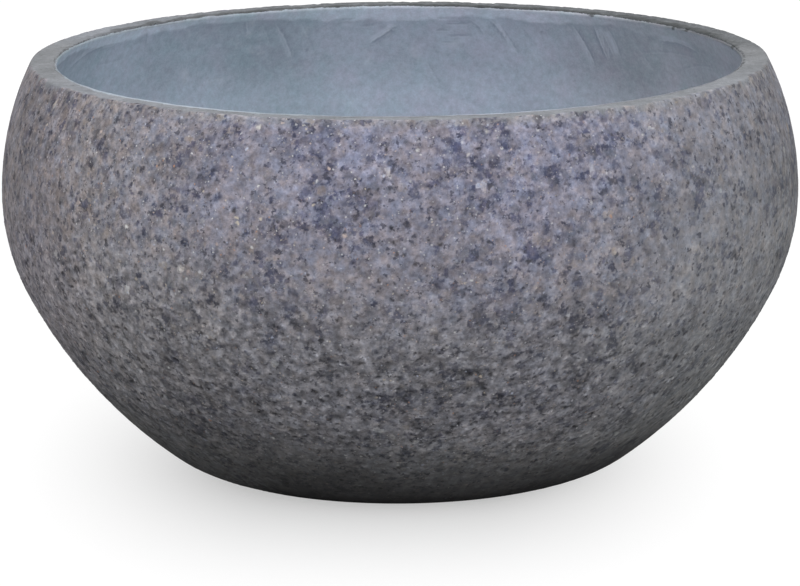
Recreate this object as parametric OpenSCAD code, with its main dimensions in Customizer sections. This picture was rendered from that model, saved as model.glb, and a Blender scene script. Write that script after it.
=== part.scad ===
// Concrete bowl planter.
// A fibre-cement shell carries an exposed-aggregate face coat outside and a sealer coat
// inside, with a mat of glass fibre laid between face coat and shell. A plastic sleeve
// lines the drain hole in the floor, and a ribbed rubber plug closes it from above.
// Millimetres, +Z up. The origin is on the ground, under the middle of the foot.

/* [Bowl] */
// Diameter at the widest level
bowl_d = 500; // [460:5:560]
// Height from the ground to the top of the rim
bowl_h = 258; // [235:1:290]
// Height of the shoulder, from the widest level up to the rim
shoulder_h = 83; // [70:1:95]
// Distance by which the rim stands in from the widest level
rim_in = 20; // [14:1:30]
// Diameter of the circle on which the outside curve meets the ground
foot_d = 222; // [200:2:240]

/* [Outside curve] */
// Radius of the curve below the widest level
belly_r = 132; // [115:1:150]
// Radius of the long curve of the flank
flank_r = 290; // [260:5:330]
// Radius of the curve from the flank into the ground
foot_r = 64; // [50:1:75]
// Rounding of the rim's outer edge
rim_edge_r = 2.5; // [1:0.5:6]
// Rounding of the rim's inner edge
lip_edge_r = 2; // [0.5:0.5:4]

/* [Wall] */
// Thickness of the wall with all its coats
wall_t = 15.5; // [13:0.5:22]
// Height of the finished floor above the ground
floor_h = 20; // [17:0.5:28]
// Radius of the inside curve between the floor and the wall
cove_r = 46; // [30:1:60]
// Thickness of the exposed-aggregate face coat
facing_t = 4; // [2:0.5:6]
// Thickness of the glass-fibre mat
mat_t = 1; // [0.5:0.25:2]
// Thickness of the sealer coat
sealer_t = 1; // [0.5:0.25:2]
// Depth of the mat's upper edge below the rim
mat_drop = 15; // [8:1:30]
// Depth of the sealer's upper edge below the rim
sealer_drop = 4; // [3:0.5:20]

/* [Foot] */
// Width of the flat ring that stands on the ground
ring_w = 22; // [12:1:40]
// Width of bare cement from the ring out to the face coat
land_w = 14; // [8:1:24]
// Width of cement that covers the mat's lower edge, outward from the land
mat_cover_w = 10; // [4:1:20]
// Depth of the recess under the floor
recess_h = 4; // [2:0.5:6]
// Width of each channel that lets water out from under the foot
weep_w = 12; // [6:1:30]
// Number of channels
weep_count = 2; // [1:1:6]

/* [Drain] */
// Bore of the drain sleeve
drain_d = 26; // [16:1:40]
// Wall of the drain sleeve
sleeve_t = 3; // [1.5:0.5:5]
// Distance by which the sleeve's anchor collar stands out into the cement
collar_w = 6; // [3:1:12]
// Thickness of the anchor collar
collar_t = 3; // [1.5:0.5:5]

/* [Plug] */
// Distance by which the plug's head covers the floor around the bore
head_w = 8; // [5:1:14]
// Thickness of the plug's head
head_t = 4; // [2:0.5:6]
// Length of the plug's stem below its head
stem_h = 13; // [8:0.5:15]
// Height of the ribs above the stem's core
rib_w = 1.5; // [0.5:0.25:3]
// Number of ribs
rib_count = 3; // [1:1:5]
// Gap between the ribs and the bore
plug_gap = 0.05; // [0.02:0.01:0.1]
// Diameter of the knob that the plug is pulled by
knob_d = 14; // [8:1:24]
// Height of the knob above the head
knob_h = 9; // [6:1:16]

/* [Hidden] */

// Largest distance between an arc and the straight lines that stand for it
bow = 0.03;
// Distance by which a cutter runs past the face that it cuts
past = 1;
$fn = 96;

bowl_r = bowl_d / 2;
belly_h = bowl_h - shoulder_h;
sleeve_r = drain_d / 2 + sleeve_t;
ring_inner_r = foot_d / 2 - ring_w;
facing_foot_r = foot_d / 2 + land_w;
mat_foot_r = facing_foot_r + mat_cover_w;

// Unit vector at an angle
function polar(angle) = [cos(angle), sin(angle)];

// Angle of the line from one point to another
function bearing(from, to) = atan2(to.y - from.y, to.x - from.x);

// Points of an arc about a centre, from its first angle up to but without its last
function arc(centre, radius, first, last) =
    let (turn = last - first, n = ceil(abs(turn) / (2 * acos(1 - bow / radius))))
    [for (i = [0 : n - 1]) centre + radius * polar(first + turn * i / n)];

// Where a circle about p crosses a circle about q, on the side towards the axis
function crossing(p, radius_p, q, radius_q) =
    let (
        span = norm(q - p),
        along = (q - p) / span,
        reach = (radius_p^2 - radius_q^2 + span^2) / (2 * span)
    )
    p + reach * along + sqrt(radius_p^2 - reach^2) * [along.y, -along.x];

// The outside is four arcs, each tangent to the next: foot, flank, belly and shoulder.
// A surface inside the wall has the same centres and radii less its depth.
foot_c = [foot_d / 2, foot_r];
belly_c = [bowl_r - belly_r, belly_h];
flank_c = crossing(belly_c, flank_r - belly_r, foot_c, flank_r - foot_r);
shoulder_r = (shoulder_h^2 + rim_in^2) / (2 * rim_in);
shoulder_c = [bowl_r - shoulder_r, belly_h];

// The inside meets the floor in an arc of its own, tangent to the floor and the flank
cove_y = floor_h + cove_r;
cove_c = [
    flank_c.x + sqrt((flank_r - wall_t - cove_r)^2 - (cove_y - flank_c.y)^2),
    cove_y
];

// Centre of a rounding of radius r at the rim, at a distance from the shoulder's centre
function rim_round_c(distance, r) =
    let (y = bowl_h - r)
    [shoulder_c.x + sqrt(distance^2 - (y - shoulder_c.y)^2), y];

edge_c = rim_round_c(shoulder_r - rim_edge_r, rim_edge_r);
lip_c = rim_round_c(shoulder_r - wall_t + lip_edge_r, lip_edge_r);

// The four arcs at a depth below the outside, from the low arc's bottom to an end angle
function side_curve(depth, low_c, low_r, end) =
    let (hip = bearing(flank_c, belly_c), toe = bearing(flank_c, low_c))
    concat(
        arc(low_c, low_r, -90, toe),
        arc(flank_c, flank_r - depth, toe, hip),
        arc(belly_c, belly_r - depth, hip, 0),
        arc(shoulder_c, shoulder_r - depth, 0, end)
    );

// Ends a curve that has no rounding: on the plane of the rim, then straight up
function open_top(depth) =
    let (x = shoulder_c.x + sqrt((shoulder_r - depth)^2 - shoulder_h^2))
    [[x, bowl_h], [x, bowl_h + past], [0, bowl_h + past]];

function rim_angle(depth) = asin(shoulder_h / (shoulder_r - depth));

// Half section of the whole bowl, filled, with the rim's outer edge rounded
module filled_bowl() {
    turn = bearing(shoulder_c, edge_c);
    polygon(concat(
        side_curve(0, foot_c, foot_r, turn),
        arc(edge_c, rim_edge_r, turn, 90),
        [[edge_c.x, bowl_h], [0, bowl_h], [0, 0]]
    ));
}

// Half section of all that lies deeper in the bowl than a depth below its outside
module deeper_than(depth) {
    polygon(concat(
        side_curve(depth, foot_c, foot_r - depth, rim_angle(depth)),
        open_top(depth),
        [[0, depth]]
    ));
}

// Half section of the hollow before the sealer coat is laid in it
module unsealed_hollow() {
    depth = wall_t - sealer_t;
    polygon(concat(
        side_curve(depth, cove_c, cove_r + sealer_t, rim_angle(depth)),
        open_top(depth),
        [[0, floor_h - sealer_t]]
    ));
}

// Half section of the finished hollow, with the rim's inner edge rounded
module hollow() {
    turn = bearing(shoulder_c, lip_c);
    polygon(concat(
        side_curve(wall_t, cove_c, cove_r, turn),
        arc(lip_c, lip_edge_r, turn + 180, 90),
        [[lip_c.x, bowl_h], [lip_c.x, bowl_h + past], [0, bowl_h + past], [0, floor_h]]
    ));
}

// Part of a half section outside a radius and below a height
module between(inner_r, top_h) {
    intersection() {
        children();
        translate([inner_r, -past])
            square([bowl_r - inner_r + past, top_h + past]);
    }
}

// The face coat turns over the rim's rounded outer edge and ends in the rim's flat top
module facing_section() {
    between(facing_foot_r, bowl_h + past)
        difference() {
            filled_bowl();
            deeper_than(facing_t);
        }
}

module mat_section() {
    between(mat_foot_r, bowl_h - mat_drop)
        difference() {
            deeper_than(facing_t);
            deeper_than(facing_t + mat_t);
        }
}

module sealer_section() {
    between(sleeve_r, bowl_h - sealer_drop)
        difference() {
            unsealed_hollow();
            hollow();
        }
}

// The sleeve is a tube with a collar at half its height, cast into the floor
module sleeve_section() {
    tube_h = floor_h - recess_h;
    translate([drain_d / 2, recess_h])
        square([sleeve_t, tube_h]);
    translate([drain_d / 2, recess_h + (tube_h - collar_t) / 2])
        square([sleeve_t + collar_w, collar_t]);
}

module shell_section() {
    difference() {
        filled_bowl();
        facing_section();
        mat_section();
        sealer_section();
        hollow();
        sleeve_section();
        translate([0, -past])
            square([drain_d / 2, floor_h + 2 * past]);
        translate([0, -past])
            square([ring_inner_r, recess_h + past]);
    }
}

// Channels from the recess out past the face coat's lower edge
module weep_channels() {
    for (i = [0 : weep_count - 1])
        rotate(i * 360 / weep_count)
            translate([ring_inner_r - past, -weep_w / 2, -past])
                cube([bowl_r - ring_inner_r, weep_w, recess_h + past]);
}

module cement_shell() {
    color([0.58, 0.58, 0.56])
        difference() {
            rotate_extrude()
                shell_section();
            weep_channels();
        }
}

module aggregate_facing() {
    color([0.44, 0.43, 0.47])
        difference() {
            rotate_extrude()
                facing_section();
            weep_channels();
        }
}

module glass_fibre_mat() {
    color([0.86, 0.87, 0.84])
        rotate_extrude()
            mat_section();
}

module interior_sealer() {
    color([0.50, 0.55, 0.60])
        rotate_extrude()
            sealer_section();
}

module drain_sleeve() {
    color([0.28, 0.29, 0.30])
        rotate_extrude()
            sleeve_section();
}

// One rib of the stem, from its foot up: it swells to its edge, then steps back in
function rib(core_r, rib_r, low, pitch) = [
    [core_r, low],
    [rib_r, low + pitch * 0.6],
    [rib_r, low + pitch * 0.8],
    [core_r, low + pitch * 0.8]
];

// Half section of the plug, whose head rests on the floor around the sleeve
module plug_section() {
    rib_r = drain_d / 2 - plug_gap;
    core_r = rib_r - rib_w;
    pitch = stem_h / rib_count;
    head_r = drain_d / 2 + head_w;
    edge_r = head_t / 2;
    head_top = floor_h + head_t;
    neck_r = knob_d * 0.32;
    knob_y = head_top + knob_h - edge_r;
    polygon(concat(
        [[0, floor_h - stem_h]],
        [for (i = [0 : rib_count - 1])
            each rib(core_r, rib_r, floor_h - stem_h + i * pitch, pitch)],
        [[core_r, floor_h], [head_r, floor_h]],
        arc([head_r - edge_r, head_top - edge_r], edge_r, 0, 90),
        [[head_r - edge_r, head_top], [neck_r, head_top]],
        [[neck_r, knob_y - edge_r]],
        arc([knob_d / 2 - edge_r, knob_y], edge_r, -90, 90),
        [[knob_d / 2 - edge_r, knob_y + edge_r], [0, knob_y + edge_r]]
    ));
}

module drain_plug() {
    color([0.09, 0.09, 0.10])
        rotate_extrude()
            plug_section();
}

cement_shell();
aggregate_facing();
glass_fibre_mat();
interior_sealer();
drain_sleeve();
drain_plug();
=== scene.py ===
"""Finishes, light and camera for the concrete bowl planter.

The CAD model is the frame. Every shape here is worked out in millimetres in that frame, as a
profile (r, z) carried round the axis, and is written into its mesh in metres.
"""

import math

import bpy
import numpy as np
from mathutils import Euler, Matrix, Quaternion


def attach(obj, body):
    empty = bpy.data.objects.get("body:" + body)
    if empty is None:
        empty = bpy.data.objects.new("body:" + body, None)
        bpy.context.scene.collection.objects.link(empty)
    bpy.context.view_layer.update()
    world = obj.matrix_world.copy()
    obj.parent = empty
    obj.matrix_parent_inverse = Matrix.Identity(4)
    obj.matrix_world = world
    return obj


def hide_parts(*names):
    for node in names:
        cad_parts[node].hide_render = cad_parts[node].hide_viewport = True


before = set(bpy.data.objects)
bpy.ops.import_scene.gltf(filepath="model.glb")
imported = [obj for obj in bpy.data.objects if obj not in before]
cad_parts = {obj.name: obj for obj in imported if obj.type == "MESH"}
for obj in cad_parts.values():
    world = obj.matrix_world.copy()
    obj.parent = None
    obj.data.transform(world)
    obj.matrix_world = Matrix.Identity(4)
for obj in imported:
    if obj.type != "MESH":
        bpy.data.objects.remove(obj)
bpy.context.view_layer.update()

MM = 0.001

# Outside curve of the bowl, as in the CAD model: foot, flank, belly and shoulder
FOOT_C, FOOT_R = np.array([111.0, 64.0]), 64.0
BELLY_C, BELLY_R = np.array([118.0, 175.0]), 132.0
FLANK_R = 290.0
SHOULDER_R = (83.0**2 + 20.0**2) / 40.0
SHOULDER_C = np.array([250.0 - SHOULDER_R, 175.0])
RIM_H = 258.0
FOOT_IN, FOOT_OUT = 89.0, 111.0
RECESS = 4.0
# The channels under the foot: half their width, their height, and the radius in the face coat where the
# columns that become their side walls hardly have to move
WEEP_HALF, WEEP_H, WEEP_R = 6.0, 4.0, 118.0

# Depths below the outside: the backs of the face coat and of the mat, the sealer's back and its face
FACING, MAT, BED, WALL = 4.0, 5.0, 14.5, 15.5
FACING_FOOT, MAT_FOOT = 125.0, 135.0
MAT_TOP, SEALER_TOP = 243.0, 254.0
COVE_R, FLOOR = 46.0, 20.0

# The drain: radii of its bore, tube and collar, and the collar's lower and upper faces
BORE, TUBE, COLLAR = 13.0, 16.0, 22.0
COLLAR_LOW, COLLAR_TOP = 10.5, 13.5

# From this step on, in mm, a line's bends count in its spacing
LONG_STEP = 15.0
# The face coat's meshes: together they are too large for one
SECTORS = 8
# Strength of the sky's light
SKY = 1.07


# ---------------------------------------------------------------- profiles


def crossing(p, radius_p, q, radius_q):
    """Where two circles cross on the axis's side: along the line of their centres, then across it."""
    span = np.linalg.norm(q - p)
    along = (q - p) / span
    reach = (radius_p**2 - radius_q**2 + span**2) / (2 * span)
    return p + reach * along + math.sqrt(radius_p**2 - reach**2) * np.array([along[1], -along[0]])


def bearing(start, end):
    """Angle in degrees of the line from one point to another."""
    return math.degrees(math.atan2(end[1] - start[1], end[0] - start[0]))


FLANK_C = crossing(BELLY_C, FLANK_R - BELLY_R, FOOT_C, FLANK_R - FOOT_R)
COVE_Y = 66.0
COVE_REACH = math.sqrt((FLANK_R - WALL - COVE_R) ** 2 - (COVE_Y - FLANK_C[1]) ** 2)
COVE_C = np.array([FLANK_C[0] + COVE_REACH, COVE_Y])
HIP = bearing(FLANK_C, BELLY_C)


def rim_round_c(distance, radius):
    """Centre of a rounding at the rim, at a distance from the shoulder's centre."""
    y = RIM_H - radius
    return np.array([SHOULDER_C[0] + math.sqrt(distance**2 - (y - SHOULDER_C[1]) ** 2), y])


EDGE_R, LIP_R = 1.7, 2.0
EDGE_C = rim_round_c(SHOULDER_R - EDGE_R, EDGE_R)
LIP_C = rim_round_c(SHOULDER_R - WALL + LIP_R, LIP_R)


def arc(centre, radius, first, last):
    """Points of an arc: the centre plus the radius times the unit vector at evenly spaced angles."""
    n = int(abs(math.radians(last - first)) * radius / 0.25) + 8
    a = np.radians(np.linspace(first, last, n))
    return np.asarray(centre) + radius * np.stack([np.cos(a), np.sin(a)], 1)


def side(depth, low_c=FOOT_C, low_r=FOOT_R):
    """The four arcs at a depth below the outside, from the bottom of the low arc to above the rim.

    Inside, the cove takes the place of the foot's arc, with a centre and a radius of its own.
    """
    toe = bearing(FLANK_C, low_c)
    return np.concatenate(
        [
            arc(low_c, low_r - depth if low_c is FOOT_C else low_r, -90, toe),
            arc(FLANK_C, FLANK_R - depth, toe, HIP),
            arc(BELLY_C, BELLY_R - depth, HIP, 0),
            arc(SHOULDER_C, SHOULDER_R - depth, 0, 29),
        ]
    )


def at_height(line, z):
    """The point where a rising line reaches a height, between two of its points."""
    return np.array([np.interp(z, line[:, 1], line[:, 0]), z])


def part_of(line, start, end):
    """The part of a rising line between two of its points, with both ends exact."""
    inside = (line[:, 1] > start[1]) & (line[:, 1] < end[1])
    return np.concatenate([[start], line[inside], [end]])


def spaced(line, step):
    """The line with its points moved to even steps of arc length; x and y follow.

    Where steps are long, each degree of turn counts as 0.7 mm more, so that bends stay round.
    """
    apart = np.linalg.norm(np.diff(line, axis=0), axis=1) > 1e-6
    line = line[np.concatenate([[True], apart])]
    part = np.diff(line, axis=0)
    way = np.unwrap(np.arctan2(part[:, 1], part[:, 0]))
    turn = np.abs(np.diff(way, prepend=way[0])) if step >= LONG_STEP else 0.0
    length = np.concatenate([[0], np.cumsum(np.linalg.norm(part, axis=1) + 40.0 * turn)])
    n = max(1, int(round(length[-1] / step)))
    s = np.linspace(0, length[-1], n + 1)
    return np.stack([np.interp(s, length, line[:, k]) for k in (0, 1)], 1)


def straight(step, *corners):
    """A straight run from each corner to the next, all with the same step."""
    return [([start, end], step) for start, end in zip(corners, corners[1:])]


class Profile:
    """Runs of points joined into one line. A run's last point is left to the run after it.

    Each row has its place (r, z), its outward direction, the number of its run, and whether the
    line turns sharply there. A closed line runs anticlockwise: outwards, up, inwards, down.
    """

    def __init__(self, runs, closed=True):
        rows, which, ways = [], [], []
        for k, (line, step) in enumerate(runs):
            run = spaced(np.asarray(line, float), step)
            way = np.gradient(run, axis=0)
            keep = slice(0, len(run) if not closed and k == len(runs) - 1 else len(run) - 1)
            rows.append(run[keep])
            ways.append(way[keep])
            which.append(np.full(len(run[keep]), k))
        self.at = np.concatenate(rows)
        self.run = np.concatenate(which)
        way = np.concatenate(ways)
        way /= np.linalg.norm(way, axis=1)[:, None]
        self.out = np.stack([way[:, 1], -way[:, 0]], 1)
        before = np.roll(self.at, 1, 0)
        after = np.roll(self.at, -1, 0)
        a = (self.at - before) / np.linalg.norm(self.at - before, axis=1)[:, None]
        b = (after - self.at) / np.linalg.norm(after - self.at, axis=1)[:, None]
        self.sharp = (a * b).sum(1) < 0.8
        if not closed:
            self.sharp[[0, -1]] = True
        self.closed = closed
        self.length = np.concatenate([[0], np.cumsum(np.linalg.norm(after - self.at, axis=1))])


def off_axis(points):
    """Distance of each point from the bowl's axis."""
    return np.hypot(points[..., 0], points[..., 1])


def degrees_round(points):
    """Degrees of each point round the axis, from -180 to 180."""
    return np.degrees(np.arctan2(points[..., 1], points[..., 0]))


def whole_turn(columns):
    """The angles of evenly spaced columns all the way round."""
    return np.arange(columns) * 2 * math.pi / columns


def carried_round(profile, angles):
    """Points (r cos a, r sin a, z) and outward directions of a profile carried round to each angle."""
    c, s = np.cos(angles), np.sin(angles)
    r, z = profile.at[:, 0, None], profile.at[:, 1, None]
    out_r, out_z = profile.out[:, 0, None], profile.out[:, 1, None]
    points = np.stack([r * c, r * s, z + 0 * c], 2)
    outward = np.stack([out_r * c, out_r * s, out_z + 0 * c], 2)
    return points, outward


# ---------------------------------------------------------------- chance


def drift(points, size, seed):
    """Smooth noise from -1 to 1: each corner of a cubic lattice holds a random number, and a point
    takes the mix of its eight corners, eased so that the slope is nothing at each corner. The
    lattice repeats after n cells."""
    n = 48
    dice = np.random.default_rng(seed).random((n, n, n), dtype=np.float32) * 2 - 1
    place = points.reshape(-1, 3) / size
    home = np.floor(place).astype(np.int32)
    part = (place - home).astype(np.float32)
    ease = part * part * (3 - 2 * part)
    shares = (1 - ease, ease)
    corners = (home % n, (home + 1) % n)
    total = np.zeros(len(place), np.float32)
    for ix, iy, iz in np.ndindex(2, 2, 2):
        share = shares[ix][:, 0] * shares[iy][:, 1] * shares[iz][:, 2]
        total += share * dice[corners[ix][:, 0], corners[iy][:, 1], corners[iz][:, 2]]
    return total.reshape(points.shape[:-1]) * 1.6


def stones(points, spacing, small, large, share, seed):
    """How deep each point lies in the deepest of many round stones, in mm, and that stone's shade.

    Space is cut into cubes, and a share of them hold one stone each, at a random place and of a
    random radius. The depth is the stone's radius less the distance from its middle. The cubes
    repeat after n of them.
    """
    n = 56
    dice = np.random.default_rng(seed).random((n, n, n, 6), dtype=np.float32)
    place = points.reshape(-1, 3).astype(np.float32)
    home = np.floor(place / spacing).astype(np.int32)
    deep = np.full(len(place), -spacing, np.float32)
    shade = np.zeros(len(place), np.float32)
    for step in np.ndindex(3, 3, 3):
        cube = home + np.array(step, np.int32) - 1
        roll = dice[cube[:, 0] % n, cube[:, 1] % n, cube[:, 2] % n]
        middle = (cube + 0.1 + 0.8 * roll[:, :3]) * spacing
        radius = small + (large - small) * roll[:, 3] ** 2
        here = radius - np.sqrt(((place - middle) ** 2).sum(1))
        here = np.where((roll[:, 4] < share) & (here > deep), here, -spacing)
        shade = np.where(here > deep, roll[:, 5], shade)
        deep = np.maximum(deep, here)
    shape = points.shape[:-1]
    return deep.reshape(shape), shade.reshape(shape)


def ramp(value, low, high):
    """Eased rise from 0 at low to 1 at high."""
    t = np.clip((value - low) / (high - low), 0, 1)
    return t * t * (3 - 2 * t)


# ---------------------------------------------------------------- meshes


def write_mesh(name, points, profile, joined, notes, caps=(), flat=None):
    """Puts a grid of points (rows along the profile, columns round the axis) into a mesh.

    Face (i, j) joins rows i and i + 1 and columns j and j + 1. The last row meets the first on a
    closed profile, and the last column meets the first where joined. Caps are rings of vertex
    numbers, one face each. The map has the columns across and the profile's length upwards, and
    the caps lie in narrow strips at its right.
    """
    rows, columns = points.shape[:2]
    i = np.arange(rows if profile.closed else rows - 1)
    j = np.arange(columns if joined else columns - 1)
    i, j = (g.ravel() for g in np.meshgrid(i, j, indexing="ij"))
    up, on = (i + 1) % rows, (j + 1) % columns
    quads = np.stack([i * columns + j, i * columns + on, up * columns + on, up * columns + j], 1)
    rings = [np.asarray(c) for c in caps]
    loops = np.concatenate([quads.ravel(), *rings]).astype(np.int32)
    sizes = np.concatenate([np.full(len(quads), 4), [len(c) for c in rings]]).astype(np.int32)
    mesh = bpy.data.meshes.new(name)
    mesh.vertices.add(rows * columns)
    mesh.vertices.foreach_set("co", (points.reshape(-1, 3) * MM).astype(np.float32).ravel())
    mesh.loops.add(len(loops))
    mesh.loops.foreach_set("vertex_index", loops)
    mesh.polygons.add(len(sizes))
    mesh.polygons.foreach_set("loop_start", np.concatenate([[0], np.cumsum(sizes)[:-1]]).astype(np.int32))
    mesh.update(calc_edges=True)
    smooth = np.ones(len(sizes), bool)
    smooth[len(quads):] = False
    if flat is not None:
        smooth[: len(quads)] = ~flat[i]
    mesh.polygons.foreach_set("use_smooth", smooth)
    ends = np.zeros(len(mesh.edges) * 2, np.int32)
    mesh.edges.foreach_get("vertices", ends)
    row = ends.reshape(-1, 2) // columns
    crease = mesh.attributes.new("sharp_edge", "BOOLEAN", "EDGE")
    crease.data.foreach_set("value", (row[:, 0] == row[:, 1]) & profile.sharp[row[:, 0]])
    for note, values in notes.items():
        layer = mesh.attributes.new(note, "FLOAT", "POINT")
        layer.data.foreach_set("value", values.astype(np.float32).ravel())
    across = np.stack([j, j + 1, j + 1, j], 1) / columns * 0.96
    length = profile.length / profile.length[-1]
    upwards = length[np.stack([i, i, i + 1, i + 1], 1)]
    turns = [np.arange(len(c)) for c in rings]
    cap_u = [0.97 + 0.02 * k + 0.008 * np.sin(t) for k, t in enumerate(turns)]
    cap_v = [length[c // columns] if len(c) == rows else 0.5 + 0.4 * np.cos(t) for c, t in zip(rings, turns)]
    u = np.concatenate([across.ravel(), *cap_u])
    v = np.concatenate([upwards.ravel(), *cap_v])
    layer = mesh.uv_layers.new(name="OFBake")
    layer.data.foreach_set("uv", np.stack([u, v], 1).astype(np.float32).ravel())
    mesh.validate()
    thing = bpy.data.objects.new(name, mesh)
    bpy.context.scene.collection.objects.link(thing)
    return thing


def place(thing, body, node, slot, finish):
    """Gives a piece its finish and its body, and hides the CAD node that it stands for. The slot's name is
    not used.
    """
    thing.data.materials.append(finish)
    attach(thing, body)
    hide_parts(node)


def cut_weeps(points, column_angles, pitch):
    """Cuts the two channels under the foot, at 0 and 180 degrees.

    Two columns move onto each side wall, 0.2 mm apart, at the angle asin(half width / r). Between
    the walls, what lies below the channel's roof rises to it.
    """
    r = off_axis(points)
    z = points[..., 2]
    fold = (column_angles + math.pi / 2) % math.pi - math.pi / 2
    turn = np.abs(fold)[None, :]
    k = round(math.asin(WEEP_HALF / WEEP_R) / pitch - 0.5)
    middle = (k + 0.5) * pitch
    wall = np.arcsin(WEEP_HALF / np.maximum(r, 60.0))
    low = 1 - ramp(z, 5.0, 12.0)
    hat = np.clip(1 - np.abs(turn - middle) / (12 * pitch), 0, 1)
    moved = turn + hat * (wall - middle)
    inner = np.abs(turn - k * pitch) < 0.25 * pitch
    outer = np.abs(turn - (k + 1) * pitch) < 0.25 * pitch
    moved = np.where(inner, wall - 0.1 / r, np.where(outer, wall + 0.1 / r, moved))
    shift = np.where(fold < 0, -1, 1)[None, :] * (moved - turn) * low
    new = column_angles[None, :] + shift
    inside = (turn < middle) & (z < WEEP_H) & (r > FOOT_IN - 0.1)
    z = np.where(inside, WEEP_H - 0.02 * (WEEP_H - z), z)
    return np.stack([r * np.cos(new), r * np.sin(new), z], -1)


# ---------------------------------------------------------------- exposed-aggregate face coat


def stony_line(points):
    """Radius, on the rim, at which the bare stones of the face coat give way to trowelled cement.

    It wanders, and it lies further in at the front, where the etch ran over the edge.
    """
    flat = points * [1, 1, 0]
    front = ramp(-points[..., 1], 60, 190)
    wander = 1.1 * drift(flat, 14, 41) + 1.0 * drift(flat, 5, 42) + 0.7 * drift(flat, 2.6, 43)
    return 230.2 - 2.0 * front + wander


def round_the_bowl(points, places):
    """A value that runs straight from place to place round the axis: pairs of degrees and value."""
    at, value = zip(*places)
    return np.interp(degrees_round(points), at, value, period=360)


# Round the rim, in degrees: height of the sealer's edge in mm, with each mm above 258 a mm on to the
# rim; painted light and shade on the sealer just below that edge; depth of the groove along it and of its
# dark line, which is dirt and painted shadow; grime of the cement; how far the stones below the rim were
# rubbed pale; and paleness of the cement
SEAM_HEIGHT = [
    (0, 257.4), (18, 256.6), (35, 256.6), (49, 257.4), (60, 257.3), (70, 256.7), (79, 256.8), (90, 257.35),
    (97, 257.45), (127, 257.4), (139, 257.0), (156, 257.0), (180, 257.3), (200, 258.3), (215, 260.3),
    (250, 260.5), (270, 260.5), (290, 261.5), (315, 259.5), (335, 257.6),
]
SEAM_PAINTED_LIGHT = [
    (0, -0.6), (18, -0.65), (35, -0.52), (49, -0.2), (60, -0.28), (70, -0.42), (79, -0.5), (88, -0.25),
    (106, -0.3), (116, -0.17), (127, -0.35), (139, -0.58), (156, -0.36), (180, -0.55), (205, -0.5),
    (225, -0.25), (240, -0.35), (254, -0.5), (265, -0.95), (275, -0.95), (292, -0.75), (320, -0.6),
]
SEAM_LINE = [
    (0, 0.8), (35, 1.0), (75, 1.0), (88, 0.5), (106, 0.35), (120, 0.6), (150, 0.75), (180, 0.4),
    (200, 0.05), (330, 0.1),
]
GRIME = [(0, 0.0), (20, 1.0), (80, 1.0), (92, 0.85), (106, 0.7), (116, 0.5), (130, 0.3), (156, 0.0)]
RUBBED = [(230, 0.0), (250, 0.9), (258, 0.8), (268, 0.1), (276, 0.2), (288, 0.9), (310, 0.4), (330, 0.0)]
PALENESS = [
    (0, 0.0), (112, 0.15), (127, 0.45), (140, 0.7), (155, 0.9), (168, 0.1), (195, 0.2), (212, 0.7),
    (240, 0.5), (335, 0.45),
]


def at_back(points, low=16.0, high=158.0):
    """1 on the far side of the bowl, between two angles in degrees, and 0 towards the front."""
    turn = degrees_round(points)
    return ramp(turn, low, low + 22) * (1 - ramp(turn, high - 22, high))


def trowelled(points):
    """Height in mm, about -0.25, of the rim where it was struck off and rubbed, roughest behind."""
    smooth = 0.14 * drift(points, 46, 52) + 0.1 * drift(points, 13, 53) + 0.07 * drift(points, 4, 54)
    rough = drift(points, 7, 58) + 0.9 * drift(points, 3.0, 59)
    height = -0.24 + smooth + (0.05 + 0.17 * at_back(points)) * rough
    return np.clip(height, -1.2, -0.01)


def chips(points, places):
    """Depth in mm of small broken places: each is a bowl of its own radius about its middle."""
    depth = np.zeros(points.shape[:-1])
    for angle, r, z, size, deep in places:
        a = math.radians(angle)
        middle = np.array([r * math.cos(a), r * math.sin(a), z])
        near = np.abs(points - middle).max(-1) < 2.2 * size
        some = points[near]
        ragged = size * (1 + 0.35 * drift(some, 0.7 * size, 51))
        away = np.linalg.norm(some - middle, axis=-1)
        depth[near] = np.maximum(depth[near], deep * ramp(ragged - away, 0, 0.7 * size))
    return depth


# Broken places on the rim: angle, r, z, radius and depth in mm
RIM_CHIPS = [
    (23.0, 215.0, 258.0, 2.6, 1.1), (20.5, 214.8, 257.6, 1.6, 0.7), (15.0, 215.0, 258.0, 2.2, 0.9),
    (9.5, 214.8, 257.6, 3.0, 1.3), (6.8, 215.2, 258.0, 1.4, 0.7), (29.3, 214.9, 257.3, 2.8, 1.2),
    (33.4, 215.2, 257.6, 2.8, 1.1), (37.0, 214.9, 257.3, 1.5, 0.7), (41.0, 215.0, 258.0, 1.6, 0.7),
    (53.4, 215.0, 257.4, 2.3, 1.0), (-1.5, 219.5, 258.0, 1.5, 0.45), (-9.0, 214.8, 257.8, 1.8, 0.7),
    (158.0, 215.0, 258.0, 1.8, 0.7), (171.0, 230.6, 256.9, 2.0, 0.8), (204.0, 215.2, 258.0, 1.5, 0.6),
    (236.0, 230.3, 257.2, 1.7, 0.6), (301.0, 230.5, 257.0, 2.1, 0.8), (47.0, 230.4, 257.0, 2.3, 0.8),
    (74.0, 215.0, 258.0, 1.7, 0.6), (101.0, 214.9, 257.9, 2.0, 0.8), (122.0, 230.3, 257.1, 1.6, 0.6),
    (88.0, 230.0, 257.3, 1.8, 0.6), (139.0, 215.3, 258.0, 1.8, 0.7),
]


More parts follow.
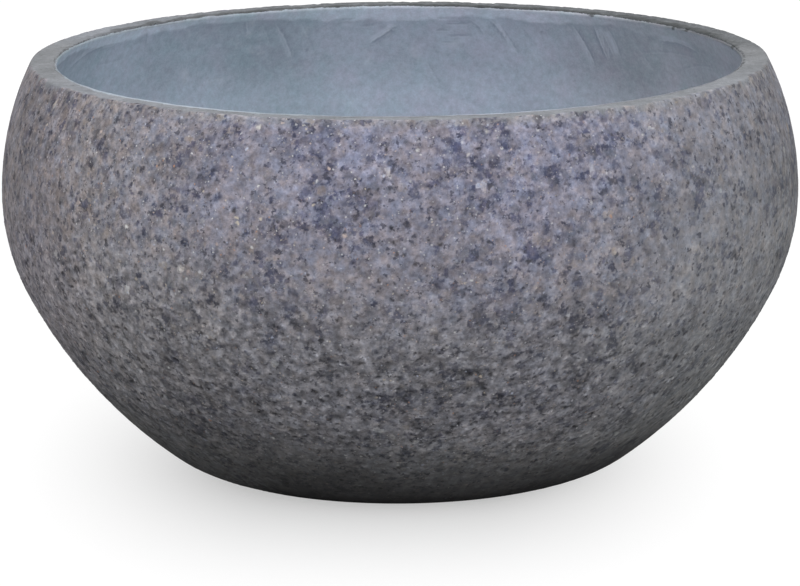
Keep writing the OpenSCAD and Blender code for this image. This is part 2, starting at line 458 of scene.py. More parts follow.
def coat_of_stones(points):
    """Relief and notes of the face coat at each point on the bowl's outside.

    Two sizes of stone stand in a fine bed that was etched back, and a few have dropped out and
    left holes. Lower down, where the etch ran, hollows and crumbs break the bed up, and it is
    calm again at the foot. Returned are the height in mm, from -2.2 to 0, and notes from 0 to 1.
    """
    x, z = points[..., 0], points[..., 2]
    left = ramp(-x, 20, 190)
    worn = 1 - ramp(z, 104 + 15 * left, 184 + 30 * left)
    low = worn * ramp(z, 16, 66)
    calm = calmness(points)
    warp = np.stack([drift(points, 2.9, s) for s in (11, 12, 13)], -1)
    bent = points + 1.25 * warp
    thick = drift(points, 15, 14) + 0.6 * drift(points, 41, 24)
    big, big_shade = stones(bent, 4.9, 1.2, 3.2, 0.92, 21)
    fine, fine_shade = stones(bent, 2.6, 0.5, 1.35, 0.85, 22)
    hole, _ = stones(bent + 0.5 * warp, 7.2, 0.5, 1.7, 0.4, 23)
    hollow, _ = stones(bent * [1, 1, 1.3], 5.6, 0.6, 2.1, 0.5, 27)
    crumb, _ = stones(bent * [1, 1, 1.2], 3.4, 0.4, 1.3, 0.5, 28)
    big = big + 0.8 * thick
    fine = fine + 0.4 * thick
    big_cap = ramp(big, -1.0, 1.1)
    fine_cap = ramp(fine, -0.5, 0.6)
    pit = ramp(hole, -0.2, 0.55)
    hollow = ramp(hollow, -0.3, 0.6) * low
    crumb = ramp(crumb, -0.1, 0.55) * low
    hand = 0.5 * drift(points, 85, 15) + 0.28 * drift(points, 34, 16)
    crust = drift(points * [1, 1, 1.3], 5.2, 17)
    lump = drift(points, 2.9, 18)
    grit = drift(points, 1.7, 19)
    height = -0.33 + 0.2 * hand - 0.65 * (1 - 0.35 * calm) * pit
    height += (1 - 0.45 * calm) * (0.14 * big_cap + 0.08 * fine_cap * (1 - big_cap))
    rough = (0.07 + 0.09 * low) * crust + (0.05 + 0.07 * low) * lump + (0.03 + 0.05 * low) * grit
    height += (1 - 0.6 * calm) * rough
    height += 0.36 * crumb - 0.7 * hollow - 0.12 * low + 0.14 * ramp(z, 200, 240)
    r = off_axis(points)
    stony = np.where(z > 253.0, ramp(r - stony_line(points), -1.1, 1.1), 1.0)
    face = np.clip(height, -2.2, -0.02) * (1 - 0.3 * ramp(z, 250, 257))
    face = face * stony + trowelled(points) * (1 - stony)
    rim_rows = z > 250
    face[rim_rows] -= chips(points[rim_rows], RIM_CHIPS)
    pale = np.zeros(z.shape)
    known = z > 60
    pale[known] = chips(points[known], PALE_STONES)
    # Painted shade on the far right and far left high up, and along the right edge
    dim = 0.9 * ramp(x, 175, 215) * ramp(z, 160, 195) + 0.45 * ramp(x, 222, 245)
    dim += 0.7 * ramp(-x, 185, 225) * ramp(z, 160, 200)
    # Painted light: the sides below the belly, and low down right of the middle, made lighter
    aside = ramp(np.abs(x), 60, 190) * (1 - ramp(z, 130, 200))
    aside += 0.6 * ramp(x, 10, 110) * (1 - ramp(z, 70, 120))
    upper_left = np.maximum(ramp(z, 140, 195) * (1 - ramp(x, -70, 60)), 0.8 * ramp(z, 20, 50) * low)
    notes = {
        "stone": np.maximum(big_cap, 0.85 * fine_cap),
        "shade": np.where(big_cap > 0.35, big_shade, fine_shade),
        "hole": np.maximum(pit, hollow),
        "crumb": crumb,
        # The relief's own noise, which the colour follows as painted light and shade
        "lump": np.clip(0.5 + 0.2 * crust + 0.3 * lump + 0.22 * grit, 0, 1),
        "stony": stony,
        "worn": worn,
        "calm": calm,
        "bare": (1 - 0.62 * ramp(x, 60, 205) - 0.5 * ramp(-x, 205, 242)) * (0.72 + 0.28 * upper_left),
        "aside": aside,
        "blue": blueness(points),
        # Painted shade near the ground, highest left of the middle
        "foot": (1 - ramp(z, 4, ground_shade_height(x))) * (1 - 0.42 * ramp(-x, 60, 110) * (1 - ramp(z, 30, 60))),
        "dim": np.clip(dim, 0, 1),
        "rosy": ramp(-x, 165, 235),
        "grimy": round_the_bowl(points, GRIME) * ramp(z, 254, 257),
        "fair": round_the_bowl(points, PALENESS),
        "edging": ramp(z, 250.5, 255.5) * round_the_bowl(points, RUBBED),
        "pale": pale,
    }
    return face, notes


# Large pale stones in the face coat: angle, r, z, radius and strength
PALE_STONES = [
    (249.3, 233.0, 252.3, 2.0, 1.0), (240.2, 248.0, 208.5, 1.7, 0.9), (282.5, 234.0, 251.5, 1.9, 0.9),
    (279.6, 239.0, 238.6, 1.3, 0.7), (265.0, 241.0, 239.5, 1.4, 0.6), (298.0, 243.0, 247.0, 1.2, 0.7),
    (278.9, 208.0, 97.5, 2.3, 0.75), (281.0, 207.0, 95.0, 2.3, 0.75), (198.0, 243.0, 240.0, 1.5, 0.6),
    (75.0, 240.0, 236.0, 1.9, 0.8), (110.0, 247.0, 200.0, 1.6, 0.8), (25.0, 246.0, 205.0, 1.7, 0.7),
    (155.0, 248.0, 160.0, 1.8, 0.7),
]


def ground_shade_height(x):
    """How high painted shade darkens the bowl from the ground: highest left of the middle."""
    return 54 + 4 * ramp(x, 10, 150) + 24 * np.exp(-(((x + 42) / 38) ** 2)) + 30 * ramp(-x, 40, 110)


def calmness(points):
    """From 0 to 1: how smooth the face coat is. It is smoothest at the right, low at the sides and at
    the foot."""
    x, z = points[..., 0], points[..., 2]
    right = 0.9 * ramp(x, 60, 205) * (1 - 0.35 * ramp(z, 185, 230)) + 0.6 * ramp(-x, 190, 238)
    low_side = 0.7 * ramp(np.abs(x), 110, 215) * (1 - ramp(z, 50, 125))
    return np.clip(right + low_side + 0.8 * (1 - ramp(z, 22, 70)), 0, 1)


def blueness(points):
    """From 0 to 1: how blue the weathered coat looks, most of all high up at the front."""
    x, z = points[..., 0], points[..., 2]
    up = 0.18 + 0.38 * ramp(z, 25, 110) + 0.46 * ramp(z, 150, 232) - 0.6 * ramp(z, 252, 257)
    across = 0.06 + 0.94 * ramp(x, -215, -40) - 0.55 * ramp(x, 60, 215)
    return np.clip(up * across + 0.12 * drift(points, 38, 25), 0, 1)


OUTSIDE = side(0.0)
EDGE_TURN = bearing(SHOULDER_C, EDGE_C)
EDGE = arc(EDGE_C, EDGE_R, EDGE_TURN, 90)
UNDER_FACING = side(FACING)
UNDER_MAT = side(MAT)
UNDER_SEALER = side(BED, COVE_C, COVE_R + 1.0)
INSIDE = side(WALL, COVE_C, COVE_R)


def at_radius(line, r):
    """The point where a widening line reaches a radius, on its part below the widest level."""
    low = line[line[:, 1] < 100]
    return np.array([r, np.interp(r, low[:, 0], low[:, 1])])


def foot_ease(points):
    """From 0 at the face coat's lower edge to 1 a little way up, so that it meets the land flush."""
    return 0.15 + 0.85 * ramp(points[..., 2], 1.4, 3.4)


def make_facing():
    """The face coat: a closed layer 4 mm thick, in eight sectors that meet on radial planes.

    The outer row i runs along the outside curve at even steps, pushed in along its normal by the
    relief of the stones. The inner rows follow the same curve 4 mm deeper.
    """
    foot, foot_in = at_radius(OUTSIDE, FACING_FOOT), at_radius(UNDER_FACING, FACING_FOOT)
    top_in = at_height(UNDER_FACING, RIM_H)
    profile = Profile(
        [
            (part_of(OUTSIDE, foot, EDGE[0]), 1.0),
            (EDGE, 0.6),
            ([EDGE[-1], top_in], 0.7),
            (part_of(UNDER_FACING, foot_in, top_in)[::-1], 12.0),
            ([foot_in, foot], 5.0),
        ]
    )
    # The first three runs are in sight, up to the corner where the fourth one starts
    outer = profile.run <= 2
    corner = np.flatnonzero(profile.run == 3)[0]
    outer[corner] = True
    profile.out[corner] = [0, 1]
    columns = 196
    pitch = 2 * math.pi / (SECTORS * columns)
    finish = facing_finish()
    for k in range(SECTORS):
        angles = (np.arange(columns + 1) + (k - 0.5) * columns) * pitch
        points, outward = carried_round(profile, angles)
        face, notes = coat_of_stones(points[outer])
        all_notes = {name: np.zeros(points.shape[:2], np.float32) for name in notes}
        for name, values in notes.items():
            all_notes[name][outer] = values
        points[outer] += outward[outer] * (face * foot_ease(points[outer]))[..., None]
        points = cut_weeps(points, angles, pitch)
        first = np.arange(len(profile.at)) * (columns + 1)
        caps = [first, (first + columns)[::-1]]
        name = f"aggregate_facing_{k + 1}"
        thing = write_mesh(name, points, profile, False, all_notes, caps, flat=~outer)
        place(thing, "planter", "aggregate_facing", "aggregate", finish)


# ---------------------------------------------------------------- cement shell


def from_seam(points):
    """Distance in mm, over the rim's inner edge, from the edge of the sealer: above it is cement.

    The sealer was brushed up over the rounding, at the front on to the rim itself.
    """
    r = off_axis(points)
    flat = points * [1, 1, 0]
    ragged = 0.15 * drift(flat, 19, 44) + 0.2 * drift(flat, 6, 45)
    seam = round_the_bowl(points, SEAM_HEIGHT)
    ragged *= 1 + 0.9 * ramp(seam, 258.5, 261.0)
    return np.clip(points[..., 2] - seam - ragged, -6.0, 1.2) + np.maximum(0, r - 216.0)


def make_shell():
    """The cement shell: rim, inner edge, foot ring, recess and the faces that carry the coats.

    The rim is pushed in along its normal by the trowel's unevenness, the chips and the groove
    along the sealer's edge, and the foot by the grain of its mould. The rest stays smooth.
    """
    foot, foot_in = at_radius(OUTSIDE, FACING_FOOT), at_radius(UNDER_FACING, FACING_FOOT)
    mat_out, mat_in = at_radius(UNDER_FACING, MAT_FOOT), at_radius(UNDER_MAT, MAT_FOOT)
    mat_top, mat_top_in = at_height(UNDER_FACING, MAT_TOP), at_height(UNDER_MAT, MAT_TOP)
    sealer_out, sealer_in = at_height(UNDER_SEALER, SEALER_TOP), at_height(INSIDE, SEALER_TOP)
    bed_low = np.array([COVE_C[0], COVE_C[1] - (COVE_R + 1.0)])
    top = at_height(UNDER_FACING, RIM_H)
    lip = arc(LIP_C, LIP_R, 90, bearing(SHOULDER_C, LIP_C) + 180)
    profile = Profile(
        [
            ([[TUBE, RECESS], [FOOT_IN, RECESS]], 9.0),
            ([[FOOT_IN, RECESS], [FOOT_IN, 0]], 1.0),
            ([[FOOT_IN, 0], [FOOT_OUT, 0]], 2.75),
            (part_of(OUTSIDE, np.array([FOOT_OUT, 0.0]), foot), 2.4),
            ([foot, foot_in], 6.0),
            (part_of(UNDER_FACING, foot_in, mat_out), 12.0),
            ([mat_out, mat_in], 6.0),
            (part_of(UNDER_MAT, mat_in, mat_top_in), 24.0),
            ([mat_top_in, mat_top], 6.0),
            (part_of(UNDER_FACING, mat_top, top), 12.0),
            ([top, lip[0]], 0.8),
            (lip, 0.34),
            (part_of(INSIDE, sealer_in, lip[-1])[::-1], 0.8),
            ([sealer_in, sealer_out], 6.0),
            (part_of(UNDER_SEALER, bed_low, sealer_out)[::-1], 15.0),
            ([bed_low, [TUBE, FLOOR - 1.0]], 40.0),
            *straight(8.0, [TUBE, FLOOR - 1.0], [TUBE, COLLAR_TOP], [COLLAR, COLLAR_TOP]),
            *straight(8.0, [COLLAR, COLLAR_TOP], [COLLAR, COLLAR_LOW], [TUBE, COLLAR_LOW], [TUBE, RECESS]),
        ]
    )
    # Runs of that list, counted from 0: the recess's side, the ring that stands on the ground and the last
    # one in sight below, then the rim's flat, the last one of the rim and the seat of the sealer's edge
    recess_side, ring, last_below, flat, last_of_rim, seat = 1, 2, 3, 10, 12, 13
    columns = 950
    pitch = 2 * math.pi / columns
    angles = np.arange(columns) * pitch
    points, outward = carried_round(profile, angles)
    run, z = profile.run[:, None], points[..., 2]
    r = off_axis(points)
    rim = (run >= flat) & (run <= last_of_rim)
    to_sealer = rim | (np.arange(len(run))[:, None] == np.flatnonzero(run == seat)[0])
    under = run <= last_below
    face, notes = coat_of_stones(points)
    broken = chips(points, RIM_CHIPS)
    push = np.where(run == flat, face, (trowelled(points) - broken) * ramp(z, 256.1, 257.8))
    away = from_seam(points)
    wide = 0.4 + 0.5 * at_back(points, 2.0, 84.0)
    groove = np.exp(-(((away - 0.25) / wide) ** 2))
    seam_line = round_the_bowl(points, SEAM_LINE)
    groove *= np.clip(0.2 + 0.4 * drift(points, 8, 55) + seam_line, 0, 1)
    push = np.where(rim, push - 0.45 * groove, 0)
    stand = (z < 0.01) & (run == ring)
    cast = 0.14 + 0.12 * drift(points, 11, 56) + 0.12 * drift(points, 4, 57)
    push = push - np.where(under, np.clip(cast, 0, 1) * np.where(stand, 0.4, 1.0), 0)
    push = push * np.where(run == recess_side, 0.3, 1.0)
    # A darker band along the rim's inner edge at the back
    inner_edge_dark = ramp(219.0 + 2.4 * drift(points, 9, 46) + 1.6 * drift(points, 3.2, 47) - r, -1.6, 1.6)
    points = points + outward * push[..., None]
    points = cut_weeps(points, angles, pitch)
    notes["stony"] = np.where(run == flat, notes["stony"], 0)
    notes["from_seam"] = np.where(to_sealer, np.clip(0.5 + away / 8, 0, 1), 1)
    # Painted shade on the sealer just below its edge, and painted light where the table round the rim is
    # above 0
    near_seam = ramp(away, -3.4, -1.8) * ramp(z, 254.6, 255.8)
    notes["lip"] = np.where(to_sealer, 0.5 + 0.5 * near_seam * round_the_bowl(points, SEAM_PAINTED_LIGHT), 0.5)
    # How dark the line along the sealer's edge is: dirt and painted shadow
    notes["seam"] = np.where(rim, np.clip(0.35 * drift(points, 8, 55) + seam_line, 0, 1), 0)
    inner_edge_dark *= 0.8 * at_back(points, 2.0, 166.0) * ramp(away, 0.2, 0.8)
    notes["broken"] = np.where(rim, np.clip(broken * 1.6 + inner_edge_dark, 0, 1), 0)
    notes["under"] = np.where(under, 1.0, 0.0) * np.ones_like(z)
    notes["grimy"] = np.where(rim, notes["grimy"], 0)
    notes["fair"] = np.where(rim, notes["fair"], 0)
    notes.update(sealer_notes(points))
    thing = write_mesh("cast_shell", points, profile, True, notes)
    place(thing, "planter", "cement_shell", "cement", shell_finish())


# ---------------------------------------------------------------- sealer coat


def stroke(along, z, start, end, bulge):
    """Where points lie from one pass of the trowel, in the sheet of arc length and height.

    The pass is a shallow bow from start to end. Returned are the distance across it and the
    share of it passed, from 0 to 1.
    """
    chord = np.subtract(end, start)
    length = math.hypot(*chord)
    du, dz = along - start[0], z - start[1]
    t = (du * chord[0] + dz * chord[1]) / length**2
    across = (dz * chord[0] - du * chord[1]) / length - bulge * 4 * t * (1 - t)
    return across, t


# Passes of the trowel that show in the photograph: degrees and height in mm of start and end, bow in mm
# and strength, whose sign says on which side the ridge's painted light and painted shade lie
TROWEL_MARKS = [
    (55.3, 219.5, 58.2, 247.5, 1.2, -1.1), (52.2, 225.0, 53.4, 249.0, -1.0, 1.1),
    (50.8, 227.5, 52.2, 246.0, 0.0, 0.8), (49.6, 227.0, 51.2, 250.0, 1.5, -0.7),
    (71.0, 233.0, 73.6, 248.5, 0.8, 1.1), (69.5, 223.5, 72.4, 246.0, 0.3, -0.8),
    (74.9, 236.5, 77.7, 248.5, 1.8, 0.7), (65.2, 230.5, 68.2, 246.5, 0.0, 0.5),
    (61.0, 226.0, 63.6, 247.0, 1.0, 0.35), (83.4, 238.3, 85.5, 244.1, 0.5, 0.4),
    (108.4, 220.5, 112.2, 247.5, 1.5, -0.8), (112.4, 230.0, 115.2, 249.0, 1.0, -0.5),
    (117.1, 241.5, 118.0, 252.0, 0.0, 0.7), (122.5, 236.0, 124.4, 249.5, 0.5, 0.4),
    (138.5, 243.0, 139.7, 254.5, 0.0, 0.6), (163.6, 239.5, 145.7, 249.0, -4.9, -0.8),
    (152.4, 236.3, 142.9, 236.3, 1.5, 0.5), (95.2, 230.5, 90.2, 244.0, 0.0, -1.3),
    (45.0, 231.8, 29.0, 235.1, -3.0, 0.5), (39.5, 244.5, 28.5, 241.8, -2.5, -0.9),
    (85.3, 216.6, 82.9, 199.0, 1.0, 0.6), (88.0, 228.0, 94.0, 245.0, 3.0, 0.35),
    (99.5, 226.0, 103.5, 246.0, 1.5, -0.4), (128.0, 226.0, 131.0, 247.0, 1.0, -0.4),
    (36.0, 224.0, 24.0, 232.0, -3.0, 0.5), (83.6, 247.4, 79.2, 248.2, 0.3, 0.7),
    (82.0, 242.8, 77.6, 243.6, -0.3, 0.8), (84.0, 238.6, 80.4, 239.0, 0.2, 0.7),
    (81.6, 234.2, 77.4, 235.0, -0.2, 0.8), (83.0, 230.0, 79.8, 230.2, 0.2, 0.6),
    (100.5, 247.0, 97.4, 247.6, 0.2, 0.8), (97.0, 242.0, 93.8, 243.0, 0.2, 0.6),
    (43.0, 222.0, 46.0, 240.0, 1.0, -0.5), (104.8, 224.0, 107.6, 247.0, 1.0, -0.5),
]


def trowel_marks(points):
    """What the passes of the trowel left on the sealer coat: relief in mm, tone from -1 to 1, and
    for the nearest pass the distance across it, as (d + 4) / 8 of d in mm, and its pressure.

    Each pass leaves a thin ridge along its edge and a tone beside it, painted light on one side and painted
    shade on the other, that fades away. Besides the passes in the photograph, 70 faint ones lie at random
    places.
    """
    round_at, z = degrees_round(points), points[..., 2]
    passes = list(TROWEL_MARKS)
    wall_r = 225.0
    dice = np.random.default_rng(61)
    relief = np.zeros_like(z)
    tone = np.zeros_like(z)
    nearest = np.full(z.shape, 4.0)
    pressure = np.zeros_like(z)
    for _ in range(70):
        a, h = dice.uniform(0, 360), dice.uniform(40, 235)
        lean, long = dice.uniform(-14, 14), dice.uniform(14, 40)
        strength = dice.uniform(0.12, 0.45) * dice.choice([-1, 1])
        passes.append((a, h, a + lean, min(h + long, 251), dice.uniform(-4, 4), strength))
    for a0, z0, a1, z1, bulge, strength in passes:
        middle = 0.5 * (a0 + a1)
        turn = (round_at - middle + 180) % 360 - 180
        along = np.radians(turn) * wall_r
        start = (math.radians(a0 - middle) * wall_r, z0)
        end = (math.radians(a1 - middle) * wall_r, z1)
        across, t = stroke(along, z, start, end, bulge)
        ends = ramp(t, -0.05, 0.2) * (1 - ramp(t, 0.75, 1.05))
        relief += strength * 0.16 * np.exp(-((across / 1.6) ** 2)) * ends
        # The tone beside the ridge: painted light on one side and painted shade on the other
        tone += strength * 0.45 * np.exp(-(((across - 2.6) / 2.4) ** 2)) * ends
        tone -= strength * 0.55 * np.exp(-(((across + 1.6) / 1.8) ** 2)) * ends
        closer = (np.abs(across) < np.abs(nearest)) & (ends > 0.02)
        nearest = np.where(closer, across * np.sign(strength), nearest)
        pressure = np.where(closer, max(abs(strength) - 0.3, 0.0) * ends, pressure)
    pressure = pressure * ramp(-np.abs(nearest), -2.8, -1.8)
    return relief, np.clip(tone, -1, 1), np.clip(0.5 + nearest / 8, 0, 1), np.clip(pressure, 0, 1)


# Lower edge of the second coat under the rim: degrees and height in mm
SECOND_COAT = [
    (0, 243.5), (19, 242), (35, 246), (49, 250), (67, 247.8), (76, 249.8), (90, 246.3), (108, 249.3),
    (124, 252.9), (141, 250), (151, 248.2), (161, 252.2), (190, 247), (225, 249.5), (262, 245.5),
    (300, 249), (330, 246),
]


def second_coat_edge(points):
    """Height of the second coat's lower edge at each point: its table and two small waves."""
    turn = np.radians(degrees_round(points))
    wave = 0.5 * np.sin(16 * turn + 0.3) + 0.5 * np.sin(37 * turn + 1.0)
    return round_the_bowl(points, SECOND_COAT) + wave


def sealer_notes(points):
    """Notes of the sealer: its second coat, that coat's edge, painted light and shade over it, and where it
    is duller.
    """
    x, z = points[..., 0], points[..., 2]
    edge = second_coat_edge(points) + 0.9 * drift(points, 6, 65)
    below = edge - z
    fringe = np.exp(-np.maximum(below, 0) / 5.0) * ramp(below, -0.6, 0.6) * (z > 200)
    fringe *= np.clip(0.65 + 0.6 * drift(points, 30, 67), 0, 1)
    # Painted light and shade over the wall: lighter low down, darker at the right and a little left of the
    # middle
    light = 0.46 - 0.25 * ramp(-x, 5, 90) + 0.14 * ramp(-x, 110, 180)
    light += 0.54 * (1 - ramp(z, 190, 224)) - 0.42 * ramp(x, 90, 200)
    return {
        "second": ramp(z - edge, -0.9, 0.9) * (z > 200) * (1 - 0.75 * ramp(x, 85, 170)),
        "edge": fringe * (1 - 0.5 * ramp(x, 85, 170)),
        "light": np.clip(light + 0.16 * drift(points, 45, 68), 0, 1),
        "dull": ramp(x, 60, 190),
        "cool": ramp(-x, 0, 80),
    }


# Pinholes that show in the photograph: angle, r, z, radius and depth
PINHOLES = [(105.7, 226.0, 226.5, 1.7, 1.0), (62.4, 226.6, 222.4, 1.5, 1.0), (59.5, 230.8, 207.1, 1.4, 1.0)]


def make_sealer():
    """The sealer coat: a closed layer 1 mm thick over the wall, the cove and the floor.

    Its face is the inside curve, raised and sunk along its normal by the marks of the trowel.
    """
    bed_low, face_low = np.array([COVE_C[0], FLOOR - 1.0]), np.array([COVE_C[0], FLOOR])
    top_out, top_in = at_height(UNDER_SEALER, SEALER_TOP), at_height(INSIDE, SEALER_TOP)
    mid = at_height(INSIDE, 165.0)
    profile = Profile(
        [
            ([[TUBE, FLOOR - 1.0], bed_low], 40.0),
            (part_of(UNDER_SEALER, bed_low, top_out), 15.0),
            ([top_out, top_in], 2.0),
            (part_of(INSIDE, mid, top_in)[::-1], 1.3),
            (part_of(INSIDE, face_low, mid)[::-1], 6.0),
            ([face_low, [TUBE, FLOOR]], 8.0),
            ([[TUBE, FLOOR], [TUBE, FLOOR - 1.0]], 2.0),
        ]
    )
    columns = 670
    angles = whole_turn(columns)
    points, outward = carried_round(profile, angles)
    # Runs 3 to 5 are the face: the upper wall, the lower wall with the cove, and the floor
    face = ((profile.run >= 3) & (profile.run <= 5))[:, None] & np.ones((1, columns), bool)
    z = points[..., 2]
    r = off_axis(points)
    relief, tone, across, pressure = trowel_marks(points)
    wave = 0.14 * drift(points, 38, 62) + 0.08 * drift(points, 12, 63) + 0.03 * drift(points, 4.5, 64)
    notes = sealer_notes(points)
    ease = np.minimum(ramp(SEALER_TOP - z, 0, 9.0), ramp(r, TUBE + 0.5, TUBE + 8.0))
    push = (wave + relief * (0.4 + 0.6 * (z > 60)) + 0.12 * notes["second"] - 0.2) * ease
    blob, _ = stones(points, 17, 0.6, 1.5, 0.1, 66)
    prick = np.maximum(ramp(blob, 0, 0.7), chips(points, PINHOLES))
    push = push - 0.35 * prick * ease
    push = np.where(face, push, 0)
    points = points + outward * push[..., None]
    notes.update({"trowel": tone, "across": across, "pressure": pressure, "prick": prick})
    notes = {name: np.where(face, values, 0) for name, values in notes.items()}
    thing = write_mesh("sealer_coat", points, profile, True, notes)
    place(thing, "planter", "interior_sealer", "sealer", sealer_finish())


# ---------------------------------------------------------------- drain sleeve and plug


def make_sleeve():
    """The drain sleeve: a tube with an anchor collar and rounded edges to its bore.

    Its top and its bore are pushed in by a little noise, and a moulding seam stands out along them.
    """
    top = FLOOR - 0.05
    profile = Profile(
        [
            ([[BORE + 0.4, RECESS], [TUBE, RECESS]], 0.8),
            *straight(3.0, [TUBE, RECESS], [TUBE, COLLAR_LOW], [COLLAR, COLLAR_LOW]),
            (arc([21.2, 12.0], 1.5, -60, 60), 0.6),
            *straight(3.0, [COLLAR, COLLAR_TOP], [TUBE, COLLAR_TOP], [TUBE, top]),
            ([[TUBE, top], [BORE + 0.8, top]], 0.7),
            (arc([BORE + 0.8, 19.15], 0.8, 90, 180), 0.25),
            ([[BORE, 19.15], [BORE, RECESS + 0.4]], 0.9),
            (arc([BORE + 0.4, RECESS + 0.4], 0.4, 180, 270), 0.2),
        ]
    )
    columns = 144
    angles = whole_turn(columns)
    points, outward = carried_round(profile, angles)
    # From run 6 on the tube is in sight: its top, the bore and the bore's lower edge
    bore_side = (profile.run >= 6)[:, None]
    seam = np.exp(-((np.degrees((angles - 0.9 + math.pi) % (2 * math.pi) - math.pi) / 2.0) ** 2))
    push = np.where(bore_side, -0.03 - 0.03 * drift(points, 5, 71) + 0.06 * seam[None, :], 0)
    points = points + outward * np.minimum(push, 0.04)[..., None]
    notes = {"limed": np.clip(0.5 + 0.5 * drift(points, 6, 72), 0, 1)}
    thing = write_mesh("drain_tube", points, profile, True, notes)
    place(thing, "planter", "drain_sleeve", "sleeve_plastic", sleeve_finish())


def make_plug():
    """The rubber plug: a ribbed stem, a head with a rounded edge and a knob on a waisted neck.

    The ribs swell to their edge and step back in, as in the CAD model, with their corners eased.
    The skin is pushed in by 0.05 mm and a little noise, and less along two seams on the head.
    """
    core, rib_r, low, pitch = 11.45, 12.95, 7.0, 13.0 / 3
    runs = [
        ([[0.5, low + 0.5], [core - 1.2, low + 0.5]], 1.2),
        (arc([core - 1.2, low + 1.2], 1.2, -60, -5), 0.3),
    ]
    for k in range(3):
        z = low + k * pitch
        start = [core, z + 1.0 if k == 0 else z]
        runs += [
            ([start, [rib_r - 0.25, z + pitch * 0.55]], 0.5),
            (arc([rib_r - 0.3, z + pitch * 0.66], 0.3, -50, 60), 0.15),
            ([[rib_r - 0.2, z + pitch * 0.79], [core, z + pitch * 0.8]], 0.5),
        ]
    runs += [
        ([[core, 19.4], [core, FLOOR]], 0.4),
        ([[core, FLOOR], [19.4, FLOOR]], 1.0),
        (arc([19.0, 22.0], 2.0, -70, 90), 0.3),
        ([[19.0, 24.0], [17.6, 24.0], [17.2, 23.7], [16.4, 23.7], [16.0, 24.0], [6.2, 24.0]], 0.35),
        (arc([6.2, 25.7], 1.7, 270, 180), 0.3),
        ([[4.5, 25.7], [4.48, 28.2]], 0.4),
        (arc([5.0, 31.0], 2.0, -75, 90), 0.25),
        ([[5.0, 33.0], [3.2, 32.9], [0.5, 32.8]], 0.4),
    ]
    profile = Profile(runs, closed=False)
    columns = 160
    angles = whole_turn(columns)
    points, outward = carried_round(profile, angles)
    z = points[..., 2]
    flash = np.exp(-((np.degrees((angles * 2 - 0.8 + math.pi) % (2 * math.pi) - math.pi) / 3.0) ** 2))
    on_floor = np.abs(z - FLOOR) < 0.2
    push = -0.05 + 0.04 * drift(points, 4, 73) + 0.05 * flash[None, :] * (z > FLOOR + 0.2)
    push = np.where(on_floor, 0, np.minimum(push, 0))
    points = points + outward * push[..., None]
    ring = np.arange(columns)
    caps = [ring[::-1], ring + (len(profile.at) - 1) * columns]
    notes = {"dusty": ramp(outward[..., 2] + 0.3 * drift(points, 3, 74), 0.1, 1.1)}
    thing = write_mesh("rubber_plug", points, profile, True, notes, caps)
    place(thing, "drain_plug", "drain_plug", "plug_rubber", plug_finish())


# ---------------------------------------------------------------- finishes


class Graph:
    """A node tree in the making. Each method adds one node, or a few, and gives back an output."""

    def __init__(self, tree):
        self.tree = tree

    def new(self, kind, inputs=None, **settings):
        node = self.tree.nodes.new(kind)
        for key, value in settings.items():
            setattr(node, key, value)
        for key, value in (inputs or {}).items():
            self.feed(node.inputs[key], value)
        return node

    def feed(self, socket, value):
        if isinstance(value, bpy.types.NodeSocket):
            self.tree.links.new(value, socket)
        elif isinstance(value, tuple) and len(value) == 3 and socket.type == "RGBA":
            socket.default_value = (*value, 1.0)
        else:
            socket.default_value = value

    def maths(self, how, a, b=0.0):
        return self.new("ShaderNodeMath", {0: a, 1: b}, operation=how).outputs[0]

    def times(self, a, b):
        return self.maths("MULTIPLY", a, b)

    def plus(self, a, b):
        return self.maths("ADD", a, b)

    def apart(self, a, b):
        """How far two values are apart, whichever is larger."""
        return self.maths("ABSOLUTE", self.maths("SUBTRACT", a, b))

    def span(self, value, low, high, to_low=0.0, to_high=1.0):
        """The value eased from one range into another, and held at its ends."""
        inputs = {"Value": value, "From Min": low, "From Max": high, "To Min": to_low, "To Max": to_high}
        return self.new("ShaderNodeMapRange", inputs, interpolation_type="SMOOTHSTEP").outputs[0]

    def between(self, share, a, b):
        """A share of the second shader over the first."""
        return self.new("ShaderNodeMixShader", {0: share, 1: a.outputs[0], 2: b.outputs[0]})

    def seen_by(self, *rays):
        """1 for the camera's rays and the other kinds named, and 0 for the rest."""
        path = self.new("ShaderNodeLightPath").outputs
        seen = path["Is Camera Ray"]
        for ray in rays:
            seen = self.maths("MAXIMUM", seen, path[ray])
        return seen


